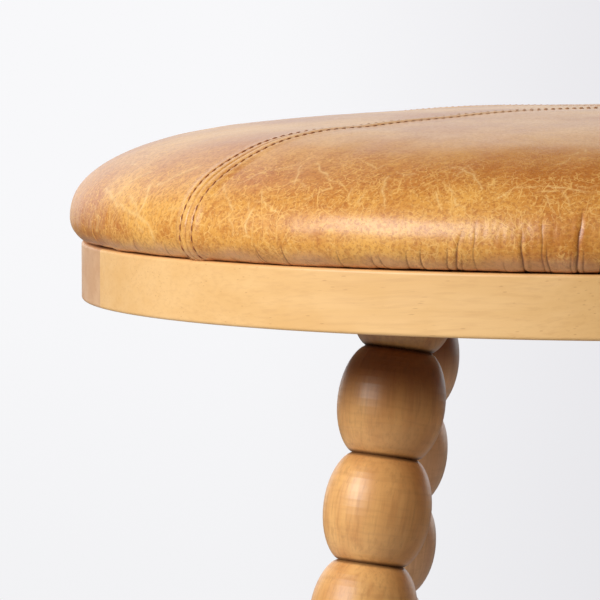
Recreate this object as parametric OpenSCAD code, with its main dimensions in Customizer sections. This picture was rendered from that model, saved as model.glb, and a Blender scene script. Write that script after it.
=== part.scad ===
// Counter stool: a round leather cushion on a beech hoop, carried by four splayed ball-turned legs
// that four ball-turned rails tie together.
// Millimetres, +Z up, the floor at z = 0, the middle of the seat on the Z axis, the front at -Y.

/* [Seat frame] */
// Height of the crown's seams above the floor
seat_h = 660; // [560:1:780]
// Outer diameter of the beech hoop
ring_d = 430; // [390:1:500]
// Height of the hoop's wood
ring_h = 22.3; // [20:0.1:30]
// Width of the hoop's wood, from its outer to its inner face
ring_w = 40; // [34:1:46]
// Easing radius of the hoop's outer edges
ring_ease_r = 1.2; // [0.5:0.1:4]
// Width of the tongue by which the seat base sits in the hoop
tongue_w = 8; // [5:0.5:10]
// Thickness of that tongue
tongue_h = 6; // [4:0.5:8]
// Distance of the seat base's underside above the hoop's
base_recess_h = 1; // [0.5:0.5:3]

/* [Cushion] */
// Height of the crown's seams above the hoop
crown_h = 51.8; // [40:0.2:60]
// Distance by which the cushion stands out over the hoop
overhang = 4.6; // [2:0.1:6]
// Height of the cushion's fullest girth above the hoop
girth_h = 9; // [7:0.5:12]
// Distance from the fullest girth in to the edge of the flat hem
tuck_w = 8.4; // [7:0.2:14]
// Thickness of the leather
leather_t = 1.8; // [1.2:0.1:2.4]
// Width of the leather hem that is turned in under the board
hem_w = 34; // [26:1:44]
// Width of the raised band along each seam
band_w = 14; // [8:0.5:20]
// Height of that band over the leather
band_t = 0.8; // [0.4:0.1:1.6]
// Thickness of the wadding between leather and foam
wadding_t = 4; // [2:0.5:6]
// Thickness of the plywood board
board_t = 12; // [9:1:15]

/* [Legs] */
// Diameter of a ball
ball_d = 40; // [32:1:46]
// Distance from groove to groove, before whole balls are fitted to the leg
ball_pitch = 39.7; // [34:0.1:48]
// Diameter at the bottom of a groove
groove_d = 24; // [18:1:26]
// Depth of the first groove below the hoop, along the leg
first_groove_h = 14.1; // [10:0.1:18]
// Radius of the circle on which the leg axes leave the seat
leg_circle_r = 122; // [105:1:140]
// Splay of a leg from upright, in degrees
leg_splay = 10.1; // [6:0.1:12]
// Diameter of the tenon that goes through the seat base
tenon_d = 26; // [20:1:30]
// Length of the wedge in the tenon
wedge_l = 16; // [10:1:19]
// Thickness of the wedge at its head
wedge_t = 3; // [2:0.5:5]

/* [Rails] */
// Height of the front and back rails, before they move to the nearest ball
foot_rest_h = 210; // [170:1:260]
// Number of balls by which the side rails sit higher
side_rail_step = 1; // [1:1:3]
// Diameter of a rail's ball
rail_ball_d = 30; // [24:1:36]
// Distance from groove to groove, before whole balls are fitted to the rail
rail_pitch = 28; // [23:1:34]
// Diameter of a rail's grooves and of its tenons
rail_tenon_d = 16; // [12:1:19]
// Length of a rail's tenon inside the leg
rail_tenon_l = 14; // [10:1:16]
// Length of bare tenon that shows between the leg and the first ball
rail_neck_l = 0.6; // [0.2:0.1:2]

/* [Glides and fasteners] */
// Diameter of a glide
glide_d = 28; // [20:1:31]
// Height of a glide
glide_h = 5; // [4:0.5:8]
// Rounding of a glide's lower edge
glide_edge_r = 1.5; // [0.5:0.1:2]
// Shank diameter of a glide's screw
screw_d = 4; // [3:0.5:5]
// Head diameter of a glide's screw
screw_head_d = 8; // [7:0.5:10]
// Length of a glide's screw
screw_l = 22; // [16:1:30]
// Thread diameter of a cushion bolt
bolt_d = 6; // [5:0.5:7]
// Length of a cushion bolt under its head
bolt_l = 25; // [23:0.5:26]
// Head diameter of a cushion bolt
bolt_head_d = 11; // [9:0.5:13]
// Head height of a cushion bolt
bolt_head_h = 4.5; // [3:0.5:5]
// Radius of the circle on which the cushion bolts stand
bolt_circle_r = 110; // [90:1:125]
// Diameter of a washer
washer_d = 18; // [15:0.5:19]
// Thickness of a washer
washer_t = 1.6; // [1:0.1:2]
// Diameter and depth of the pocket that hides a bolt's head
pocket_d = 20; // [19.5:0.5:24]
pocket_h = 8; // [7.5:0.5:10]
// Flange diameter of a tee nut
tee_flange_d = 19; // [14:0.5:22]
// Flange thickness of a tee nut
tee_flange_t = 1.5; // [1:0.1:2]
// Barrel diameter of a tee nut
tee_barrel_d = 8; // [7.5:0.1:10]
// Barrel length of a tee nut
tee_barrel_l = 9; // [6:0.5:10]
// Diameter of a hoop dowel
dowel_d = 8; // [6:0.5:9]
// Length of a hoop dowel
dowel_l = 40; // [30:1:46]
// Distance between the two dowels of a joint
dowel_gap_w = 14; // [11:0.5:16]
// Head diameter of an upholstery tack
tack_head_d = 8; // [6:0.5:10]
// Head thickness of an upholstery tack, which also lifts the hem off the hoop
tack_head_t = 0.5; // [0.4:0.1:1.2]
// Shank diameter of an upholstery tack
tack_d = 1.8; // [1.2:0.1:2.4]
// Shank length of an upholstery tack
tack_l = 9; // [6:0.5:10]

/* [Hidden] */
$fn = 96;

// Clearance round a glued or driven fit, and between the cushion's layers
fit = 0.05;
layer_gap = 0.2;
// Overrun of every cut
over = 40;

// Counts and angles
leg_count = 4;
segment_count = 4;
tacks_per_panel = 8;
quarter = 90;
leg_turn = 45;
joint_turn = 21.7;
seam_turn = -136.9;
bolt_turn = 0;
dome_steps = 26;
tuck_steps = 8;

// Shape of the cushion: how square the dome runs out to the girth, and up to the crown
dome_out_power = 3.8;
dome_up_power = 2.2;
round_power = 2;

// Shape of a ball: how round it is along its length, and how full it stands out of its grooves
ball_up_power = 2.05;
ball_out_power = 1.5;
ball_steps = 22;
// How much of the lowest ball is left above the foot's cut
foot_ball_share = 0.5;
// How thin a wedge is at its tip
wedge_tip_share = 0.2;

// Heights of the seat
ring_top_z = seat_h - crown_h;
ring_bottom_z = ring_top_z - ring_h;
ring_r = ring_d / 2;
ring_inner_r = ring_r - ring_w;
base_bottom_z = ring_bottom_z + base_recess_h;
tongue_z = ring_bottom_z + (ring_h - tongue_h) / 2;

// Levels of the cushion
cushion_r = ring_r + overhang;
girth_z = ring_top_z + girth_h;
hem_z = ring_top_z + tack_head_t;
hem_edge_r = cushion_r - tuck_w;
hem_inner_r = hem_edge_r - hem_w;
board_z = hem_z + leather_t;
board_top_z = board_z + board_t;
tack_circle_r = (hem_edge_r + hem_inner_r) / 2;

// Levels of the cushion bolts
pocket_top_z = base_bottom_z + pocket_h;
bolt_seat_z = pocket_top_z - washer_t;
tee_flange_z = board_top_z - tee_flange_t;

// Length of a leg below the hoop, its whole balls and their pitch
leg_l = (ring_bottom_z - glide_h) / cos(leg_splay);
leg_balls = round((leg_l - first_groove_h) / ball_pitch - foot_ball_share);
leg_pitch = (leg_l - first_groove_h) / (leg_balls + foot_ball_share);

// The balls that carry the rails, counted from the top
front_ball = round(((ring_bottom_z - foot_rest_h) / cos(leg_splay) - first_groove_h) / leg_pitch + 0.5);
side_ball = front_ball - side_rail_step;

// Distance along a leg from the hoop's underside to the middle of a ball
function ball_s(ball) = first_groove_h + (ball - 0.5) * leg_pitch;
// Radius and height of that point, and its distance from the middle along X or Y
function ball_r(ball) = leg_circle_r + ball_s(ball) * sin(leg_splay);
function ball_z(ball) = ring_bottom_z - ball_s(ball) * cos(leg_splay);
function ball_side(ball) = ball_r(ball) * cos(leg_turn);

// Middle of a foot, where its glide sits
foot_r = leg_circle_r + (ring_bottom_z - glide_h) * tan(leg_splay);

// Height of a glide screw's head, and of its underside above the floor
screw_head_h = (screw_head_d - screw_d) / 2;
screw_head_z = (glide_h - screw_head_h) / 3;

// Places of what repeats round the seat

module at_leg(turn) {
    translate([0, 0, ring_bottom_z]) rotate([0, 0, turn]) translate([leg_circle_r, 0, 0])
        rotate([0, -leg_splay, 0]) children();
}

module at_each_leg() {
    for (i = [0 : leg_count - 1]) at_leg(leg_turn + quarter * i) children();
}

module at_foot(turn) {
    rotate([0, 0, turn]) translate([foot_r, 0, 0]) children();
}

module at_each_bolt() {
    for (i = [0 : leg_count - 1]) rotate([0, 0, bolt_turn + quarter * i])
        translate([bolt_circle_r, 0, 0]) children();
}

module at_each_tack() {
    for (panel = [0 : 3]) for (i = [0 : tacks_per_panel - 1])
        rotate([0, 0, seam_turn + quarter * (panel + (i + 0.5) / tacks_per_panel)])
            translate([tack_circle_r, 0, hem_z]) children();
}

// The cushion's layers

// Outline of the cushion, drawn in all round by inset
function dome_points(inset) = let (r = cushion_r - inset, rise = seat_h - band_t - inset - girth_z)
    [for (i = [0 : dome_steps]) let (a = quarter * i / dome_steps)
        [r * pow(cos(a), round_power / dome_out_power),
         girth_z + rise * pow(sin(a), round_power / dome_up_power)]];

function tuck_points(inset) = let (w = tuck_w - inset, h = girth_z - hem_z - inset)
    [for (i = [0 : tuck_steps - 1]) let (a = quarter * i / tuck_steps)
        [hem_edge_r + w * sin(a), girth_z - h * cos(a)]];

module cushion_outline(inset) {
    polygon(concat([[0, hem_z + inset]], tuck_points(inset), dome_points(inset)));
}

// The raised band that two rows of stitches hold flat along a seam
module seam_band() {
    intersection() {
        rotate_extrude(angle = quarter) difference() {
            cushion_outline(-band_t);
            cushion_outline(leather_t / 2);
            square([cushion_r + over, hem_z]);
            square([hem_inner_r, girth_z]);
        }
        union() {
            translate([0, 0, hem_z]) cube([cushion_r + over, band_w / 2, crown_h + over]);
            translate([0, 0, hem_z]) cube([band_w / 2, cushion_r + over, crown_h + over]);
        }
    }
}

module leather_panel(turn) {
    color("peru") difference() {
        rotate([0, 0, turn]) union() {
            rotate_extrude(angle = quarter) difference() {
                cushion_outline(0);
                cushion_outline(leather_t);
                square([hem_inner_r, girth_z]);
            }
            seam_band();
        }
        at_each_tack() cylinder(d = tack_d + 2 * fit, h = 2 * leather_t, center = true);
    }
}

module foam_pad() {
    color("lightyellow") rotate_extrude() difference() {
        cushion_outline(leather_t + wadding_t + 2 * layer_gap);
        square([cushion_r + over, board_top_z]);
    }
}

// The wadding lies over the foam and fills in down to the board's edge
module wadding() {
    color("white") rotate_extrude() difference() {
        cushion_outline(leather_t + layer_gap);
        intersection() {
            cushion_outline(leather_t + wadding_t + layer_gap);
            translate([0, board_top_z]) square([cushion_r, crown_h]);
        }
        square([hem_edge_r + layer_gap, board_top_z]);
    }
}

module cushion_board() {
    color("burlywood") difference() {
        translate([0, 0, board_z]) cylinder(r = hem_edge_r, h = board_t);
        at_each_bolt() {
            translate([0, 0, board_z - over]) cylinder(d = tee_barrel_d + 2 * fit, h = board_t + 2 * over);
            translate([0, 0, tee_flange_z]) cylinder(d = tee_flange_d + 2 * fit, h = over);
        }
        at_each_tack() cylinder(d = tack_d + 2 * fit, h = tack_l + fit);
    }
}

module upholstery_tacks() {
    color("dimgray") at_each_tack() {
        translate([0, 0, -tack_head_t]) cylinder(d = tack_head_d, h = tack_head_t);
        cylinder(d = tack_d, h = tack_l);
    }
}

// The hoop and the base inside it

module ring_outline() {
    difference() {
        union() {
            translate([ring_inner_r, 0]) square([ring_w - ring_ease_r, ring_h]);
            translate([ring_inner_r, ring_ease_r]) square([ring_w, ring_h - 2 * ring_ease_r]);
            for (y = [ring_ease_r, ring_h - ring_ease_r]) translate([ring_r - ring_ease_r, y])
                circle(ring_ease_r);
        }
        translate([0, (ring_h - tongue_h) / 2 - fit])
            square([ring_inner_r + tongue_w + fit, tongue_h + 2 * fit]);
    }
}

// A joint's two dowels side by side, grown by clearance
module joint_dowels(clearance) {
    middle_r = (ring_inner_r + tongue_w + ring_r) / 2;
    for (side = [-1, 1]) translate([middle_r + side * dowel_gap_w / 2, 0, ring_bottom_z + ring_h / 2])
        rotate([90, 0, 0])
            cylinder(d = dowel_d + 2 * clearance, h = dowel_l + 2 * clearance, center = true);
}

module ring_segment(turn) {
    color("wheat") difference() {
        rotate([0, 0, turn]) translate([0, 0, ring_bottom_z]) rotate_extrude(angle = quarter)
            ring_outline();
        rotate([0, 0, turn]) joint_dowels(fit);
        rotate([0, 0, turn + quarter]) joint_dowels(fit);
    }
}

module ring_dowels() {
    color("tan") for (i = [0 : segment_count - 1]) rotate([0, 0, joint_turn + quarter * i])
        joint_dowels(0);
}

module seat_base() {
    color("burlywood") difference() {
        union() {
            translate([0, 0, base_bottom_z])
                cylinder(r = ring_inner_r - fit, h = ring_top_z - base_bottom_z);
            translate([0, 0, tongue_z]) cylinder(r = ring_inner_r + tongue_w, h = tongue_h);
        }
        at_each_leg() cylinder(d = tenon_d + 2 * fit, h = 2 * ring_h + over, center = true);
        at_each_bolt() {
            translate([0, 0, base_bottom_z - over]) cylinder(d = bolt_d + 2 * fit, h = ring_h + 2 * over);
            translate([0, 0, base_bottom_z - over]) cylinder(d = pocket_d, h = pocket_h + over);
        }
    }
}

// Bolts that hold the cushion down from below

module cushion_bolts() {
    socket_d = bolt_d * 2 / 3;
    color("silver") at_each_bolt() difference() {
        union() {
            translate([0, 0, bolt_seat_z]) cylinder(d = bolt_d, h = bolt_l);
            translate([0, 0, bolt_seat_z - bolt_head_h]) cylinder(d = bolt_head_d, h = bolt_head_h);
        }
        translate([0, 0, bolt_seat_z - bolt_head_h - over])
            cylinder(d = socket_d, h = over + bolt_head_h / 2, $fn = 6);
    }
}

module bolt_washers() {
    color("silver") at_each_bolt() translate([0, 0, bolt_seat_z]) difference() {
        cylinder(d = washer_d, h = washer_t);
        translate([0, 0, -over]) cylinder(d = bolt_d + 2 * fit, h = washer_t + 2 * over);
    }
}

module tee_nuts() {
    color("silver") at_each_bolt() translate([0, 0, tee_flange_z]) difference() {
        union() {
            cylinder(d = tee_flange_d, h = tee_flange_t);
            translate([0, 0, -tee_barrel_l]) cylinder(d = tee_barrel_d, h = tee_barrel_l);
        }
        translate([0, 0, -over]) cylinder(d = bolt_d + 2 * fit, h = 2 * over);
    }
}

// Turned work

// Half outline of a row of balls along -Y, the first one's upper groove at 0. A ball swells from
// groove to girth by a power curve, with points closer together near the grooves.
function ball_row(count, d, pitch, neck_d) = [
    for (i = [0 : count - 1]) for (k = [0 : ball_steps - 1]) let (y = -cos(2 * quarter * k / ball_steps))
        [neck_d / 2 + (d - neck_d) / 2 * pow(1 - pow(abs(y), ball_up_power), 1 / ball_out_power),
         -pitch * (i + (y + 1) / 2)]
];

// A turned bar along -Z that starts and ends in a groove
module turned_row(count, d, pitch, neck_d) {
    rotate_extrude() polygon(concat([[0, 0]], ball_row(count, d, pitch, neck_d),
        [[neck_d / 2, -count * pitch], [0, -count * pitch]]));
}

// The leg's balls from the seat down, along its own axis
module leg_turning() {
    translate([0, 0, leg_pitch - first_groove_h])
        turned_row(leg_balls + 2, ball_d, leg_pitch, groove_d);
}

// The slot sawn down into a tenon, and what is driven into it, from the top of the seat base
module wedge_blade() {
    head = wedge_t / 2;
    tip = head * wedge_tip_share;
    translate([0, 0, ring_h / cos(leg_splay)]) rotate([90, 0, 0])
        linear_extrude(height = tenon_d + 2 * over, center = true)
            polygon([[-tip, -wedge_l], [tip, -wedge_l], [head, 0], [-head, 0]]);
}

// A round bar on the leg's axis that ends level with the seat base's two faces
module tenon_bar(turn, d) {
    intersection() {
        at_leg(turn) cylinder(d = d, h = 2 * (ring_h + tenon_d), center = true);
        translate([-ring_r, -ring_r, ring_bottom_z]) cube([ring_d, ring_d, ring_h]);
    }
}

// Blind hole for a rail's tenon, from the ball's middle towards the next leg
module rail_mortise(turn, ball, axis) {
    place = [ball_r(ball) * cos(turn), ball_r(ball) * sin(turn), ball_z(ball)];
    inward = -sign(place[axis]);
    start = ball_d / 2 - rail_tenon_l - fit;
    translate(place) rotate(axis == 0 ? [0, 90, 0] : [-90, 0, 0])
        translate([0, 0, inward > 0 ? start : -start - over])
            cylinder(d = rail_tenon_d + 2 * fit, h = over);
}

module leg(turn) {
    color("sienna") difference() {
        union() {
            difference() {
                at_leg(turn) leg_turning();
                translate([-ring_r, -ring_r, base_bottom_z]) cube([ring_d, ring_d, ring_h + over]);
            }
            tenon_bar(turn, tenon_d);
        }
        at_leg(turn) wedge_blade();
        translate([-ring_r, -ring_r, glide_h - ball_d - over]) cube([ring_d, ring_d, ball_d + over]);
        rail_mortise(turn, front_ball, 0);
        rail_mortise(turn, side_ball, 1);
        at_foot(turn) cylinder(d = screw_d + 2 * fit, h = screw_l + fit);
    }
}

module tenon_wedges() {
    color("saddlebrown") for (i = [0 : leg_count - 1]) intersection() {
        at_leg(leg_turn + quarter * i) wedge_blade();
        tenon_bar(leg_turn + quarter * i, tenon_d);
    }
}

// A rail along X, between the middles of two of the legs' balls
module rail_turning(ball) {
    half = ball_side(ball);
    balls_half = half - ball_d / 2 - rail_neck_l;
    tenon_end = half - ball_d / 2 + rail_tenon_l;
    count = round(2 * balls_half / rail_pitch);
    rotate([0, quarter, 0]) {
        translate([0, 0, balls_half])
            turned_row(count, rail_ball_d, 2 * balls_half / count, rail_tenon_d);
        cylinder(d = rail_tenon_d, h = 2 * tenon_end, center = true);
    }
}

module rail(turn, ball) {
    color("sienna") rotate([0, 0, turn]) translate([0, -ball_side(ball), ball_z(ball)])
        rail_turning(ball);
}

// Feet

module glide(turn) {
    color("dimgray") at_foot(turn) difference() {
        rotate_extrude() {
            translate([0, glide_edge_r]) square([glide_d / 2, glide_h - glide_edge_r]);
            square([glide_d / 2 - glide_edge_r, glide_h]);
            translate([glide_d / 2 - glide_edge_r, glide_edge_r]) circle(glide_edge_r);
        }
        glide_screw(fit);
        translate([0, 0, -over]) cylinder(d = screw_head_d + 2 * fit, h = over + screw_head_z);
    }
}

// Countersunk screw, its head sunk a little above the floor
module glide_screw(clearance) {
    translate([0, 0, screw_head_z]) {
        cylinder(d1 = screw_head_d + 2 * clearance, d2 = screw_d + 2 * clearance, h = screw_head_h);
        cylinder(d = screw_d + 2 * clearance, h = screw_l - screw_head_z + clearance);
    }
}

module glide_screws() {
    color("silver") for (i = [0 : leg_count - 1]) at_foot(leg_turn + quarter * i) glide_screw(0);
}

leather_panel(seam_turn);  // leather_panel_front
leather_panel(seam_turn + quarter);  // leather_panel_right
leather_panel(seam_turn + 2 * quarter);  // leather_panel_back
leather_panel(seam_turn + 3 * quarter);  // leather_panel_left
wadding();
foam_pad();
cushion_board();
upholstery_tacks();
ring_segment(joint_turn - quarter);  // ring_segment_right
ring_segment(joint_turn);  // ring_segment_back
ring_segment(joint_turn + quarter);  // ring_segment_left
ring_segment(joint_turn + 2 * quarter);  // ring_segment_front
ring_dowels();
seat_base();
cushion_bolts();
bolt_washers();
tee_nuts();
leg(leg_turn + 2 * quarter);  // leg_front_left
leg(leg_turn + 3 * quarter);  // leg_front_right
leg(leg_turn);  // leg_back_right
leg(leg_turn + quarter);  // leg_back_left
tenon_wedges();
rail(0, front_ball);  // rail_front
rail(2 * quarter, front_ball);  // rail_back
rail(3 * quarter, side_ball);  // rail_left
rail(quarter, side_ball);  // rail_right
glide(leg_turn + 2 * quarter);  // glide_front_left
glide(leg_turn + 3 * quarter);  // glide_front_right
glide(leg_turn);  // glide_back_right
glide(leg_turn + quarter);  // glide_back_left
glide_screws();
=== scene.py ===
# Looks of the counter stool: leather cushion, beech hoop, ball-turned legs and rails, and the studio.
# Metres, +Z up, the floor at z = 0 and the front at -Y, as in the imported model.

import math

import bpy
import numpy as np
from mathutils import Matrix, Vector


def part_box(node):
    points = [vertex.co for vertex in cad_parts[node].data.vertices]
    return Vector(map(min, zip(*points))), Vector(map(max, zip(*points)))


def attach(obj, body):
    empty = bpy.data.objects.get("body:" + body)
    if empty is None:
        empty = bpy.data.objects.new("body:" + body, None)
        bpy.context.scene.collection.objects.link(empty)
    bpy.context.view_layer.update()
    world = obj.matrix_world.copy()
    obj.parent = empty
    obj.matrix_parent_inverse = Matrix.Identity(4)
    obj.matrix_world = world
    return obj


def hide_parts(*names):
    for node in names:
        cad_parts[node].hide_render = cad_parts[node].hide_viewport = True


MM = 0.001

# Camera of the photograph
FRAME_PX = 600
FOCAL_PX = 3863.7
SENSOR_WIDTH = 36.0
CAMERA_PLACE = Vector((-0.02661, -1.50856, 0.69367))
CAMERA_TURN = math.radians(-3.94)
CAMERA_DIP = math.radians(4.159)
CAMERA_ROLL = math.radians(-0.02)

# Cushion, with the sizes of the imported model
CUSHION_R = 219.6 * MM
CROWN_Z = 659.2 * MM
GIRTH_Z = 617.2 * MM
HEM_Z = 608.7 * MM
TUCK_W = 8.4 * MM
HEM_W = 34 * MM
LEATHER_T = 1.8 * MM
DOME_OUT_POWER = 3.8
DOME_UP_POWER = 2.2

# Seams of the cushion
SEAM_TURN = -136.9
QUARTER = 90.0
BAND_HALF_W = 7 * MM
BAND_T = 0.8 * MM
STITCH_OFFSET = 4.05 * MM
STITCH_PITCH = 3.7 * MM
STITCH_L = 2.6 * MM
THREAD_D = 0.65 * MM
APEX_R = 14 * MM
SEAM_START = 9 * MM

# Least depth of a seam's furrows and depth of the line where its panels meet, least height of the swell
# between these, and height of the ridge that replaces the line higher up in front
FURROW = 0.20 * MM
BUTT = 0.22 * MM
PILLOW = 0.10 * MM
RIDGE = 0.50 * MM

# How far the filling has sunk, at which radius, over what width, and the azimuth where it has least
SETTLED = 2 * MM
SETTLED_R = 127 * MM
SETTLED_W = 52 * MM
SETTLED_LEAST_AT = 95.0

# How far the shoulder stands out by the front seam, at which radius, over what width and degrees
FULLER = 1 * MM
FULLER_R = 181 * MM
FULLER_W = 16 * MM
FULLER_TURN = 16.0

# Cloth that gives the panels their swell: its grid, the frames that it runs, the most that it may lift
# the leather, and its settings
CLOTH_COLUMNS = 144
CLOTH_RINGS = 46
CLOTH_FRAMES = 20
CLOTH_MOST = 0.6 * MM
CLOTH = {
    "quality": 6, "mass": 0.5, "tension_stiffness": 60, "compression_stiffness": 60, "shear_stiffness": 30,
    "bending_stiffness": 4, "vertex_group_mass": "held", "use_pressure": True, "uniform_pressure_force": 4,
}

# Azimuths where the photograph shows the leather, starts to show it well, and stops
SHOWN_FROM = -170.0
SHOWN_WELL_FROM = -131.0
SHOWN_TO = -88.0

# The cover's columns: the least turn between two, and where they lie beside a seam's middle, in mm
COLUMN_TURN = 0.06
BAND_COLUMNS = [0, 0.25, 0.5, 0.9, 1.4, 2, 2.6, 3.1, 3.5, 3.8, 4.05, 4.3, 4.6, 5, 5.6, 6.4, 7.2, 8.2, 9.4]

# Short scuffs, in four layers: cell, half width and half length in mm, lean in radians, the rubbing at
# which they start and are full, and their strength
STROKES = (
    (11.5, 0.34, 6.4, 0.6, 0.50, 0.62, 0.85), (8.0, 0.32, 4.5, 1.0, 0.48, 0.62, 0.8),
    (5.6, 0.28, 3.2, 1.4, 0.46, 0.62, 0.7), (3.7, 0.24, 2.0, 1.57, 0.42, 0.60, 0.5),
)

# Fine crackle, in two layers: scale, inner and outer half width as shares of a cell, and strength
CRACKLES = ((230, 0.015, 0.05, 0.9), (480, 0.025, 0.095, 0.75))

# Turned legs and rails and the hoop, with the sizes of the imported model
RING_BOTTOM_Z = 585.9 * MM
RING_R = 215 * MM
LEG_CIRCLE_R = 122 * MM
LEG_SPLAY = math.radians(10.1)
FIRST_GROOVE = 14.1 * MM
LEG_PITCH = 39.72 * MM
LEG_TURNS = {"leg_back_right": 45, "leg_back_left": 135, "leg_front_left": 225, "leg_front_right": 315}
PLY_T = 1.33 * MM

# Where a darker tone along the grain starts, is full, starts to fade and has faded: painted shade on the
# legs' first balls, where the seat shades them, and the wood's own darker tone beside the left segment's
# joint
LEG_PAINTED_SHADE = (-42 * MM, -21 * MM, -15.2 * MM, -13.2 * MM)
JOINT_SHADE = (149.2 * MM, 151.4 * MM, 170 * MM, 180 * MM)

# Strength of the room's light from the backdrop, the right, the left, above and all round, and then what
# gloss mirrors of the room, the backdrop and the left
BACKDROP_LIGHT = 0.66
SIDE_LIGHT = 0.15
LEFT_LIGHT = 0.03
CEILING_LIGHT = 0.29
ROOM_LIGHT = 0.06
ROOM_MIRRORED = 0.06
BACKDROP_MIRRORED = 1.15
LEFT_MIRRORED = 0.15

# What the soft box is turned to, and the floor
LIT_PLACE = Vector((0, 0, 0.6))
FLOOR_R = 2.7
FLOOR_SIDES = 96


def linear(red, green, blue):
    """A colour given as it looks on the screen, 0 to 255, as linear values."""
    values = []
    for part in (red, green, blue):
        part /= 255
        values.append(part / 12.92 if part <= 0.04045 else ((part + 0.055) / 1.055) ** 2.4)
    return (*values, 1.0)


# Node trees

class Nodes:
    """The nodes of a material or a world, with short calls for the kinds used."""

    def __init__(self, owner):
        owner.use_nodes = True
        self.nodes, self.links = owner.node_tree.nodes, owner.node_tree.links
        self.nodes.clear()

    def set(self, node, values):
        for key, value in values.items():
            if isinstance(value, bpy.types.NodeSocket):
                self.links.new(value, node.inputs[key])
            else:
                node.inputs[key].default_value = value
        return node

    def add(self, kind, values=None, **settings):
        node = self.nodes.new(kind)
        for key, value in settings.items():
            setattr(node, key, value)
        return self.set(node, values or {})

    def math(self, operation, first, second=0.0):
        return self.add("ShaderNodeMath", {0: first, 1: second}, operation=operation).outputs[0]

    def plus(self, first, second):
        return self.math("ADD", first, second)

    def minus(self, first, second):
        return self.math("SUBTRACT", first, second)

    def times(self, first, second):
        return self.math("MULTIPLY", first, second)

    def step(self, value, start, end, low=0.0, high=1.0):
        """Goes smoothly from low at start to high at end."""
        values = {"Value": value, "From Min": start, "From Max": end, "To Min": low, "To Max": high}
        return self.add("ShaderNodeMapRange", values, interpolation_type="SMOOTHSTEP").outputs["Result"]

    def blend(self, share, first, second, kind="MIX"):
        node = self.add("ShaderNodeMix", data_type="RGBA", blend_type=kind, clamp_factor=True)
        return self.set(node, {"Factor": share, 6: first, 7: second}).outputs[2]

    def either(self, share, first, second):
        return self.add("ShaderNodeMixShader", {0: share, 1: first, 2: second}).outputs[0]

    def parts(self, place):
        return self.add("ShaderNodeSeparateXYZ", {"Vector": place}).outputs


class Finish(Nodes):
    """A material, with the colour that it has so far and, for wood, the place in the grain's frame."""

    def __init__(self, name, **values):
        self.material = bpy.data.materials.new(name)
        super().__init__(self.material)
        self.output = self.add("ShaderNodeOutputMaterial")
        self.shader = self.add("ShaderNodeBsdfPrincipled")
        self.links.new(self.shader.outputs["BSDF"], self.output.inputs["Surface"])
        self.wire(**values)
        self.place = self.add("ShaderNodeTexCoord").outputs["Object"]
        self.colour = self.local = None

    def wire(self, **sockets):
        self.set(self.shader, {key.replace("_", " "): value for key, value in sockets.items()})
        return self.material

    def tint(self, share, tone, kind="MIX"):
        """Lays a tone over the colour so far."""
        self.colour = self.blend(share, self.colour, tone, kind)

    def noise(self, place, scale, detail=2.0, roughness=0.5):
        values = {"Vector": place, "Scale": scale, "Detail": detail, "Roughness": roughness}
        return self.add("ShaderNodeTexNoise", values).outputs["Fac"]

    def cells(self, place, scale, feature="F1"):
        values = {"Vector": place, "Scale": scale}
        return self.add("ShaderNodeTexVoronoi", values, feature=feature).outputs["Distance"]

    def shift(self, operation, first, second=(0.0, 0.0, 0.0), output=0):
        return self.add("ShaderNodeVectorMath", {0: first, 1: second}, operation=operation).outputs[output]

    def stretch(self, place, *factors):
        return self.shift("MULTIPLY", place, factors)

    def dot(self, first, second):
        return self.shift("DOT_PRODUCT", first, second, "Value")

    def length(self, place):
        return self.shift("LENGTH", place, output="Value")

    def stored(self, name, output="Fac"):
        return self.add("ShaderNodeAttribute", attribute_name=name).outputs[output]

    def frame(self, matrix):
        """The place in a frame of its own, whose Z axis runs along the grain."""
        values = {"Vector": self.place, "Location": matrix.translation, "Rotation": matrix.to_euler()}
        return self.add("ShaderNodeMapping", values, vector_type="TEXTURE").outputs["Vector"]

    def warp(self, place, scale, amount):
        """Moves the place about by a noise, so that what follows isn't straight."""
        node = self.add("ShaderNodeTexNoise", {"Vector": place, "Scale": scale, "Detail": 2.0})
        centred = self.shift("SUBTRACT", node.outputs["Color"], (0.5, 0.5, 0.5))
        return self.shift("ADD", place, self.stretch(centred, amount, amount, amount))

    def strokes(self, place, cell, width, reach, lean):
        """A mask of straight hairlines, one in each cell of a flat place, up to lean off the radius."""
        moved = self.shift("ADD", place, (100 * cell, 200 * cell, 0.0))
        values = {"Vector": moved, "Scale": 1 / cell}
        node = self.add("ShaderNodeTexVoronoi", values, voronoi_dimensions="2D")
        away = self.shift("SUBTRACT", moved, node.outputs["Position"])
        out = self.shift("NORMALIZE", place)
        side = self.shift("CROSS_PRODUCT", out, (0.0, 0.0, 1.0))
        chance = self.add("ShaderNodeSeparateColor", {"Color": node.outputs["Color"]}).outputs
        turn = self.times(self.minus(chance["Red"], 0.5), 2 * lean)
        up, across = self.dot(away, out), self.dot(away, side)
        cosine, sine = self.math("COSINE", turn), self.math("SINE", turn)
        along = self.plus(self.times(up, cosine), self.times(across, sine))
        off = self.minus(self.times(across, cosine), self.times(up, sine))
        thin = self.step(self.math("ABSOLUTE", off), width, 0.3 * width)
        short = self.step(self.math("ABSOLUTE", along), reach, 0.5 * reach)
        strength = self.step(chance["Green"], 0.1, 0.9, 0.25, 1.0)
        return self.times(self.times(thin, short), strength)

    def bump(self, height, distance, strength=1.0, under=None):
        values = {"Height": height, "Distance": distance, "Strength": strength}
        if under is not None:
            values["Normal"] = under
        return self.add("ShaderNodeBump", values).outputs["Normal"]


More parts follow.
